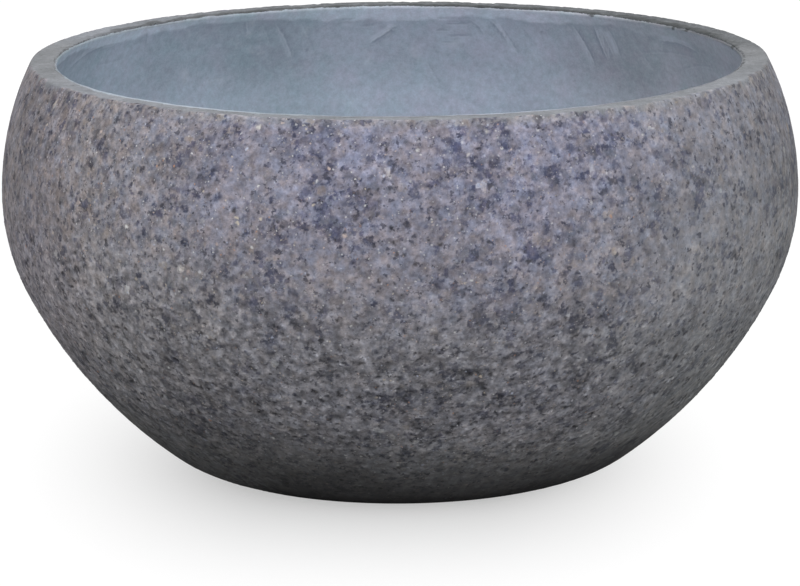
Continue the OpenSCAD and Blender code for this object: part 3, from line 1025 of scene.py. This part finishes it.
class Finish(Graph):
    """A material in the making, in Object coordinates and millimetres."""

    def __init__(self, name):
        self.material = bpy.data.materials.new(name)
        self.material.use_nodes = True
        super().__init__(self.material.node_tree)
        self.shader = self.tree.nodes["Principled BSDF"]
        self.place = self.new("ShaderNodeTexCoord").outputs["Object"]

    def stretched(self, x, y, z):
        """Object coordinates scaled along each axis."""
        return self.new("ShaderNodeMapping", {"Vector": self.place, "Scale": (x, y, z)}).outputs[0]

    def noise(self, size, detail=2.0, rough=0.5, place=None):
        """Soft cloudy noise from 0 to 1 with lumps of a size in mm."""
        inputs = {"Vector": place or self.place, "Scale": 1000.0 / size}
        inputs.update({"Detail": detail, "Roughness": rough})
        return self.new("ShaderNodeTexNoise", inputs).outputs[0]

    def cells(self, size, place=None):
        """Cells of a size in mm: the distance from the nearest middle, and that cell's three chances."""
        inputs = {"Vector": place or self.place, "Scale": 1000.0 / size}
        cell = self.new("ShaderNodeTexVoronoi", inputs, feature="F1").outputs
        return cell["Distance"], self.new("ShaderNodeSeparateColor", {0: cell["Color"]}).outputs

    def note(self, name):
        """A number that the mesh carries at each vertex."""
        return self.new("ShaderNodeAttribute", attribute_name=name).outputs["Fac"]

    def vector(self, how, a, b):
        return self.new("ShaderNodeVectorMath", {0: a, 1: b}, operation=how).outputs[0]

    def bent_place(self, size, reach):
        """Object coordinates, shifted by up to a reach in mm by soft noise of a size in mm."""
        inputs = {"Vector": self.place, "Scale": 1000.0 / size, "Detail": 1.0}
        colour = self.new("ShaderNodeTexNoise", inputs).outputs["Color"]
        shift = self.vector("SUBTRACT", colour, (0.5, 0.5, 0.5))
        scaled = self.new("ShaderNodeVectorMath", {0: shift, "Scale": 2.0 * reach * MM}, operation="SCALE")
        return self.vector("ADD", self.place, scaled.outputs[0])

    def mix(self, share, a, b, how="MIX"):
        node = self.new("ShaderNodeMix", data_type="RGBA", blend_type=how)
        self.feed(node.inputs[0], share)
        self.feed(node.inputs[6], a)
        self.feed(node.inputs[7], b)
        return node.outputs[2]

    def tinted(self, colour, **tints):
        """The colour times each tint, as far as the note of that name says."""
        for name, tint in tints.items():
            colour = self.mix(self.note(name), colour, tint, "MULTIPLY")
        return colour

    def steps(self, value, stops, how="LINEAR"):
        """Colours at places from 0 to 1, blended between or held until the next."""
        node = self.new("ShaderNodeValToRGB", {0: value})
        node.color_ramp.interpolation = how
        while len(node.color_ramp.elements) < len(stops):
            node.color_ramp.elements.new(0.5)
        for element, (at, colour) in zip(node.color_ramp.elements, stops):
            element.position = at
            element.color = (*colour, 1.0)
        return node.outputs[0]

    def bump(self, height, depth):
        """Small relief: the height from 0 to 1 stands for a depth in mm."""
        inputs = {"Strength": 1.0, "Distance": depth * MM, "Height": height}
        return self.new("ShaderNodeBump", inputs).outputs[0]

    def done(self, colour, roughness, normal, specular):
        inputs = {"Base Color": colour, "Roughness": roughness, "Normal": normal}
        inputs["Specular IOR Level"] = specular
        for key, value in inputs.items():
            self.feed(self.shader.inputs[key], value)
        return self.material


STONE_SHADES = [
    (0.0, (0.086, 0.088, 0.120)), (0.20, (0.117, 0.115, 0.157)), (0.38, (0.092, 0.090, 0.104)),
    (0.50, (0.143, 0.140, 0.177)), (0.64, (0.176, 0.176, 0.190)), (0.76, (0.224, 0.212, 0.232)),
    (0.87, (0.292, 0.280, 0.294)), (0.95, (0.320, 0.284, 0.262)), (0.988, (0.470, 0.460, 0.450)),
]


def shaded(f, colour, value, dark, light, low=0.3, high=0.7):
    """The colour times a grey that runs from dark to light as the value goes from low to high."""
    return f.mix(1.0, colour, f.steps(value, [(low, (dark,) * 3), (high, (light,) * 3)]), "MULTIPLY")


def speckle(f, colour, bent, size, share, grown, tints, strength):
    """Scattered specks: a share of the cells of a size in mm hold one, of its own size and tint."""
    near, chance = f.cells(size, bent)
    chosen = f.span(chance[1], 1.0 - share, 1.0 - share * 0.6)
    near = f.maths("DIVIDE", near, f.span(chance[2], 0.0, 1.0, *grown))
    spot = f.times(f.times(chosen, f.span(near, 0.10, 0.40, 1.0, 0.0)), strength)
    return f.mix(spot, colour, f.steps(chance[0], tints, "CONSTANT")), spot


GLINTS = [
    (0.0, (0.60, 0.60, 0.64)), (0.30, (0.78, 0.78, 0.78)), (0.48, (0.62, 0.55, 0.46)),
    (0.66, (0.62, 0.50, 0.46)), (0.80, (0.52, 0.56, 0.70)), (0.94, (0.56, 0.30, 0.17)),
]
CRUMBS = [
    (0.0, (0.42, 0.42, 0.44)), (0.45, (0.48, 0.45, 0.45)), (0.78, (0.44, 0.38, 0.34)),
    (0.955, (0.42, 0.24, 0.15)),
]
# Near-black colours: painted shade of small pits
PITS = [(0.0, (0.022, 0.021, 0.026)), (0.5, (0.040, 0.034, 0.034)), (0.75, (0.045, 0.047, 0.070))]


def stone_colour(f):
    """Colour and relief of the etched face coat: bed, stones, holes and pits with painted shade, film and
    glints, and painted light and shade on the sides, near the ground and over the relief.
    """
    worn, calm = f.note("worn"), f.note("calm")
    bed_lump = f.noise(5.0, 4.0, 0.6)
    bed = f.steps(bed_lump, [(0.32, (0.219, 0.209, 0.222)), (0.68, (0.384, 0.363, 0.382))])
    shade = f.steps(f.note("shade"), STONE_SHADES, "CONSTANT")
    edge = f.plus(f.note("stone"), f.span(f.noise(2.2, 4.0, 0.65), 0.25, 0.75, -0.5, 0.5))
    stone = f.span(edge, 0.05, 1.05)
    film = f.span(f.noise(13.0, 3.0, 0.6), 0.40, 0.64)
    stone = f.times(stone, f.maths("SUBTRACT", 1.0, f.times(film, 0.5)))
    plain = shaded(f, f.mix(stone, bed, shade), f.noise(11.0, 3.0, 0.55), 0.85, 1.13)
    fine = f.noise(1.9, 3.0, 0.62)
    colour = shaded(f, plain, fine, 0.80, 1.20)
    # Painted light and shade following the relief: raised places lighter, low places darker
    colour = shaded(f, colour, f.note("lump"), 0.84, 1.15, 0.15, 0.85)
    crumbly = shaded(f, colour, f.noise(6.2, 4.0, 0.6), 0.60, 1.46, 0.34, 0.66)
    colour = f.mix(worn, colour, crumbly)
    tint = f.steps(f.noise(7.5, 3.0, 0.6), [(0.34, (1.09, 0.99, 0.92)), (0.66, (0.93, 0.985, 1.09))])
    smooth = f.mix(1.0, f.mix(0.3, plain, (0.215, 0.213, 0.228)), (0.94, 0.96, 0.97), "MULTIPLY")
    colour = f.mix(f.times(calm, 0.66), colour, smooth)
    colour = f.mix(f.span(f.maths("MAXIMUM", calm, worn), 0.0, 1.0, 1.0, 0.6), colour, tint, "MULTIPLY")
    colour = shaded(f, colour, f.noise(26.0, 2.0, 0.5), 0.87, 1.11)
    deep = f.span(f.noise(4.4, 3.0, 0.6), 0.605, 0.68)
    colour = f.mix(f.times(deep, 0.68), colour, (0.046, 0.046, 0.062))
    colour = f.tinted(colour, blue=(0.895, 0.93, 1.14))
    grey = f.new("ShaderNodeRGBToBW", {0: colour}).outputs[0]
    grey = f.mix(1.0, grey, (1.0, 0.997, 1.06), "MULTIPLY")
    colour = f.mix(f.times(worn, 0.42), colour, grey)
    colour = f.mix(1.0, colour, (1.0, 1.02, 0.99), "MULTIPLY")
    # The sides below the belly are made lighter here: painted light
    colour = f.tinted(colour, calm=(0.98, 1.01, 0.975), aside=(1.17, 1.16, 1.17))
    # Painted shade: holes and hollows go near black
    colour = f.mix(f.times(f.note("hole"), 0.74), colour, (0.030, 0.029, 0.034))
    # Crumbs twice as light: paler grains, and painted light on their tops
    colour = f.mix(f.times(f.note("crumb"), 0.8), colour, (2.1, 2.08, 2.05), "MULTIPLY")
    bent = f.bent_place(1.1, 0.7)
    ragged = f.bent_place(2.0, 1.2)
    bare = f.note("bare")
    colour, _ = speckle(f, colour, bent, 2.9, 0.5, (0.4, 1.1), CRUMBS, f.times(bare, 0.42))
    # Painted shade: near-black specks for small pits
    colour, _ = speckle(f, colour, bent, 2.3, 0.13, (0.5, 1.2), PITS, f.times(bare, 0.80))
    colour, _ = speckle(f, colour, ragged, 5.4, 0.20, (0.35, 1.1), PITS, 0.74)
    colour, tiny = speckle(f, colour, bent, 1.9, 0.33, (0.4, 1.1), GLINTS, f.times(bare, 0.80))
    colour, glint = speckle(f, colour, ragged, 4.4, 0.16, (0.3, 0.95), GLINTS, f.times(bare, 0.95))
    colour = f.mix(f.times(f.note("pale"), 0.9), colour, (0.66, 0.64, 0.62))
    # The tint for the sides high up is painted shade; edging and rosy are the coat's own colour
    colour = f.tinted(colour, edging=(1.13, 1.15, 1.12), dim=(0.86, 0.86, 0.85), rosy=(1.0, 0.95, 1.0))
    # Painted shade near the ground: the coat goes near black towards the foot
    colour = f.mix(f.times(f.note("foot"), 0.87), colour, (0.047, 0.0455, 0.047))
    relief = f.plus(fine, bed_lump)
    return colour, relief, f.maths("MAXIMUM", tiny, glint)


def cement_colour(f):
    """Plain cast cement: cloudy, with fine sand and rubbed light and dark places."""
    cloud = f.noise(23, 3.0, 0.6)
    colour = f.steps(cloud, [(0.3, (0.176, 0.184, 0.193)), (0.72, (0.250, 0.258, 0.272))])
    sandy = shaded(f, colour, f.noise(1.3, 3.0, 0.7), 0.72, 1.26)
    sandy = shaded(f, sandy, f.noise(3.6, 3.0, 0.65), 0.74, 1.24)
    colour = f.mix(f.span(f.note("grimy"), 0.0, 1.0, 0.55, 1.0), colour, sandy)
    colour = f.tinted(colour, fair=(1.26, 1.29, 1.37))
    grime = f.times(f.note("grimy"), f.span(f.noise(4.0, 4.0, 0.7), 0.25, 0.60, 0.4, 1.0))
    return f.mix(grime, colour, (0.57, 0.59, 0.60), "MULTIPLY")


def facing_finish():
    """Etched face coat. On the rim the stones give way to trowelled cement."""
    f = Finish("exposed_aggregate")
    colour, relief, glint = stone_colour(f)
    colour = f.mix(f.note("stony"), cement_colour(f), colour)
    rough = f.maths("SUBTRACT", 0.9, f.times(glint, 0.5))
    return f.done(colour, rough, f.bump(relief, 0.2), 0.3)


def shell_finish():
    """Cast cement of the rim and the foot, with the face coat's stones at its outer border and
    the sealer's edge on its inner one, and painted shade in its pores, chips and along that edge."""
    f = Finish("cast_cement")
    colour = cement_colour(f)
    # Painted shade in small pores: dark dots
    near, chance = f.cells(3.4)
    pore = f.times(f.span(chance[0], 0.72, 0.8), f.span(near, 0.10, 0.24, 1.0, 0.0))
    colour = f.mix(f.times(pore, 0.6), colour, (0.05, 0.05, 0.05))
    colour = f.mix(f.note("stony"), colour, stone_colour(f)[0])
    film = sealer_colour(f)[0]
    ragged = f.plus(f.note("from_seam"), f.span(f.noise(2.2, 4.0, 0.7), 0.2, 0.8, -0.07, 0.07))
    # Painted light and painted shade on the sealer just below its edge
    film = f.mix(f.span(f.note("lip"), 0.5, 1.0), film, (1.20, 1.17, 1.12), "MULTIPLY")
    film = f.mix(f.span(f.note("lip"), 0.5, 0.0), film, (0.40, 0.39, 0.375), "MULTIPLY")
    colour = f.mix(f.span(ragged, 0.49, 0.51, 1.0, 0.0), colour, film)
    # A dark line along the sealer's edge, in its groove: dirt and painted shadow
    line = f.span(f.apart(ragged, 0.535), 0.015, 0.06, 1.0, 0.0)
    line = f.times(line, f.span(f.noise(5.0, 3.0, 0.6), 0.40, 0.52, 0.35, 1.0))
    colour = f.mix(f.times(line, f.note("seam")), colour, (0.038, 0.041, 0.047))
    # Painted shade in the chips, darker where deeper, and a darker band along the inner edge at the back
    colour = f.mix(f.times(f.note("broken"), 0.8), colour, (0.052, 0.056, 0.056))
    colour = f.mix(f.times(f.note("under"), 0.4), colour, (0.72, 0.70, 0.66), "MULTIPLY")
    small = f.plus(f.noise(1.1, 3.0, 0.65), f.times(pore, -0.8))
    return f.done(colour, 0.88, f.bump(small, 0.25), 0.3)


def sealer_colour(f):
    """Blue-grey sealer, brushed on thin: cloudy in tone and hue, with painted light and shade, and paler
    under its second coat.
    """
    cloud = f.noise(60, 3.0, 0.55)
    colour = f.steps(cloud, [(0.3, (0.334, 0.382, 0.452)), (0.7, (0.396, 0.430, 0.515))])
    hue = f.steps(f.noise(16, 4.0, 0.68), [(0.3, (0.95, 1.01, 0.99)), (0.7, (1.06, 0.995, 1.01))])
    colour = f.mix(1.0, colour, hue, "MULTIPLY")
    drag = f.noise(4.5, 4.0, 0.65)
    colour = shaded(f, colour, drag, 0.88, 1.12)
    colour = shaded(f, colour, f.noise(1.2, 3.0, 0.65), 0.92, 1.08)
    # Painted light and shade over the sealer's wall
    colour = shaded(f, colour, f.note("light"), 0.80, 1.24, 0.0, 1.0)
    colour = f.tinted(colour, dull=(1.0, 0.97, 0.91), cool=(0.955, 1.005, 0.985), second=(1.36, 1.33, 1.30))
    colour = f.mix(f.times(f.note("edge"), 0.36), colour, (0.20, 0.225, 0.26))
    return colour, drag


def sealer_finish():
    """The sealer coat, marked by the trowel with relief and painted light and shade, with lime and a few
    pinholes in painted shade.
    """
    f = Finish("brushed_sealer")
    colour, drag = sealer_colour(f)
    trowel = f.note("trowel")
    # Painted light and painted shade beside each pass of the trowel
    colour = f.mix(f.span(trowel, 0.0, 1.0, 0.0, 0.58), colour, (0.58, 0.62, 0.71))
    colour = f.mix(f.span(trowel, 0.0, -1.0, 0.0, 0.66), colour, (0.20, 0.23, 0.28))
    wobble = f.span(f.noise(3.0, 3.0, 0.6), 0.2, 0.8, -0.05, 0.05)
    across = f.plus(f.note("across"), wobble)
    ridge = f.span(f.apart(across, 0.5), 0.0, 0.14, 1.0, 0.0)
    shadow = f.span(f.apart(across, 0.32), 0.0, 0.17, 1.0, 0.0)
    pressure = f.note("pressure")
    # A painted highlight along each pass and a painted shadow beside it
    colour = f.mix(f.times(f.times(ridge, pressure), 0.40), colour, (0.62, 0.66, 0.74))
    colour = f.mix(f.times(f.times(shadow, pressure), 0.56), colour, (0.17, 0.20, 0.25))
    # Painted shade in the pinholes
    colour = f.mix(f.times(f.note("prick"), 0.5), colour, (0.10, 0.11, 0.13))
    lime = f.span(f.noise(17, 4.0, 0.65), 0.56, 0.76)
    colour = f.mix(f.times(lime, 0.2), colour, (0.66, 0.69, 0.74))
    relief = f.plus(f.noise(1.1, 3.0, 0.6), drag)
    return f.done(colour, 0.62, f.bump(relief, 0.08), 0.4)


def sleeve_finish():
    """Grey moulded plastic, dulled, with a thin bloom of lime."""
    f = Finish("moulded_plastic")
    grain = f.noise(0.5, 2.0, 0.6)
    colour = f.steps(grain, [(0.3, (0.060, 0.062, 0.066)), (0.7, (0.085, 0.087, 0.092))])
    lime = f.span(f.plus(f.note("limed"), f.span(f.noise(2.2, 3.0, 0.6), 0.2, 0.8, -0.3, 0.3)), 0.55, 1.0)
    colour = f.mix(f.times(lime, 0.45), colour, (0.36, 0.37, 0.37))
    return f.done(colour, f.span(lime, 0.0, 1.0, 0.45, 0.8), f.bump(grain, 0.04), 0.45)


def plug_finish():
    """Black rubber with a matt moulded skin, and dust on the faces that look up."""
    f = Finish("moulded_rubber")
    grain = f.noise(0.35, 2.0, 0.6)
    colour = f.steps(f.noise(7, 3.0), [(0.3, (0.018, 0.018, 0.019)), (0.7, (0.030, 0.030, 0.031))])
    dust = f.times(f.note("dusty"), f.span(f.noise(3.0, 4.0, 0.65), 0.40, 0.70))
    colour = f.mix(f.times(dust, 0.35), colour, (0.27, 0.27, 0.26))
    return f.done(colour, f.span(dust, 0.0, 1.0, 0.55, 0.9), f.bump(grain, 0.05), 0.4)


def mat_finish():
    """Woven glass rovings: two sets of strands, at right angles, over and under by turns."""
    f = Finish("glass_fibre_weave")
    wave = {"Vector": f.place, "Scale": 36.0, "Distortion": 0.5}
    warp, weft = (f.new("ShaderNodeTexWave", wave, bands_direction=way).outputs["Fac"] for way in "XZ")
    over = f.maths("MAXIMUM", warp, weft)
    colour = f.steps(over, [(0.2, (0.38, 0.40, 0.38)), (0.9, (0.78, 0.80, 0.77))])
    hair = f.noise(0.4, 2.0, 0.6, place=f.stretched(1.0, 1.0, 0.1))
    colour = f.mix(0.4, colour, f.steps(hair, [(0.3, (0.8, 0.8, 0.8)), (0.7, (1.1, 1.1, 1.1))]), "MULTIPLY")
    return f.done(colour, 0.5, f.bump(over, 0.4), 0.5)


# ---------------------------------------------------------------- floor, light and camera


def make_floor():
    """A plain floor that the camera sees as white with the bowl's soft shadow on it."""
    size = 9000.0 * MM
    mesh = bpy.data.meshes.new("floor")
    corners = [(-size, -size, 0), (size, -size, 0), (size, size, 0), (-size, size, 0)]
    mesh.from_pydata(corners, [], [(0, 1, 2, 3)])
    floor = bpy.data.objects.new("floor", mesh)
    bpy.context.scene.collection.objects.link(floor)
    material = bpy.data.materials.new("pale_floor")
    material.use_nodes = True
    nodes = material.node_tree.nodes
    nodes.remove(nodes["Principled BSDF"])
    g = Graph(material.node_tree)
    dark = g.new("ShaderNodeBsdfDiffuse", {"Color": (0.11, 0.11, 0.11)})
    lit = g.new("ShaderNodeBsdfDiffuse", {"Color": (0.98, 0.98, 0.98)})
    glow = g.new("ShaderNodeEmission", {"Strength": 1.05})
    place = g.new("ShaderNodeTexCoord").outputs["Object"]
    across = g.new("ShaderNodeSeparateXYZ", {0: place}).outputs["X"]
    # Near the shadow's middle, 22 mm left of the axis, the floor is lit, and further out it only glows
    fade = g.span(g.apart(across, -22.0 * MM), 60.0 * MM, 270.0 * MM, 0.46, 0.95)
    both = g.between(g.seen_by("Is Transmission Ray"), dark, g.between(fade, lit, glow))
    g.feed(nodes["Material Output"].inputs["Surface"], both.outputs[0])
    mesh.materials.append(material)


def make_sky():
    """An even soft sky. The camera and mirrors see it as white."""
    world = bpy.data.worlds.new("studio")
    bpy.context.scene.world = world
    world.use_nodes = True
    world.node_tree.nodes.clear()
    g = Graph(world.node_tree)
    light = g.new("ShaderNodeBackground", {"Color": (1.0, 1.0, 1.0), "Strength": SKY})
    white = g.new("ShaderNodeBackground", {"Color": (1.0, 1.0, 1.0), "Strength": 1.0})
    both = g.between(g.seen_by("Is Glossy Ray", "Is Transmission Ray"), light, white)
    g.new("ShaderNodeOutputWorld", {"Surface": both.outputs[0]})


def turn_to(thing, target, roll=0.0):
    """Turns a lamp or camera so that it looks at a point, then rolls it about its own line of sight."""
    way = np.subtract(target, thing.location)
    pitch = math.atan2(math.hypot(way[0], way[1]), -way[2])
    level = Euler((pitch, 0.0, math.atan2(-way[0], way[1]))).to_quaternion()
    thing.rotation_mode = "XYZ"
    thing.rotation_euler = (level @ Quaternion((0.0, 0.0, 1.0), roll)).to_euler("XYZ")


def soft_lamp(name, place_at, target, size, power):
    """A large square lamp that looks at a point."""
    data = bpy.data.lights.new(name, "AREA")
    data.shape = "SQUARE"
    data.size = size
    data.energy = power
    lamp = bpy.data.objects.new(name, data)
    bpy.context.scene.collection.objects.link(lamp)
    lamp.location = place_at
    turn_to(lamp, target)


def make_camera():
    """The photograph's viewpoint: 3 m away and about 12 degrees up, with a long lens."""
    data = bpy.data.cameras.new("camera")
    camera = bpy.data.objects.new("camera", data)
    bpy.context.scene.collection.objects.link(camera)
    rise, away = math.radians(12.10), 3.0
    target = (-0.5 * MM, 0.0, 106.45 * MM)
    camera.location = (target[0], -away * math.cos(rise), target[2] + away * math.sin(rise))
    data.lens = 213.48
    data.sensor_width = 36.0
    data.clip_end = 60.0
    turn_to(camera, target, roll=-0.0075)
    bpy.context.scene.camera = camera


make_facing()
make_shell()
make_sealer()
make_sleeve()
make_plug()

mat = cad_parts["glass_fibre_mat"]
mat.data.materials.clear()
mat.data.materials.append(mat_finish())

make_floor()
make_sky()
soft_lamp("front_lamp", (0.7, -2.7, 1.5), (0.0, 0.0, 0.13), 3.2, 27.0)
make_camera()
bpy.context.scene.view_settings.view_transform = "Standard"
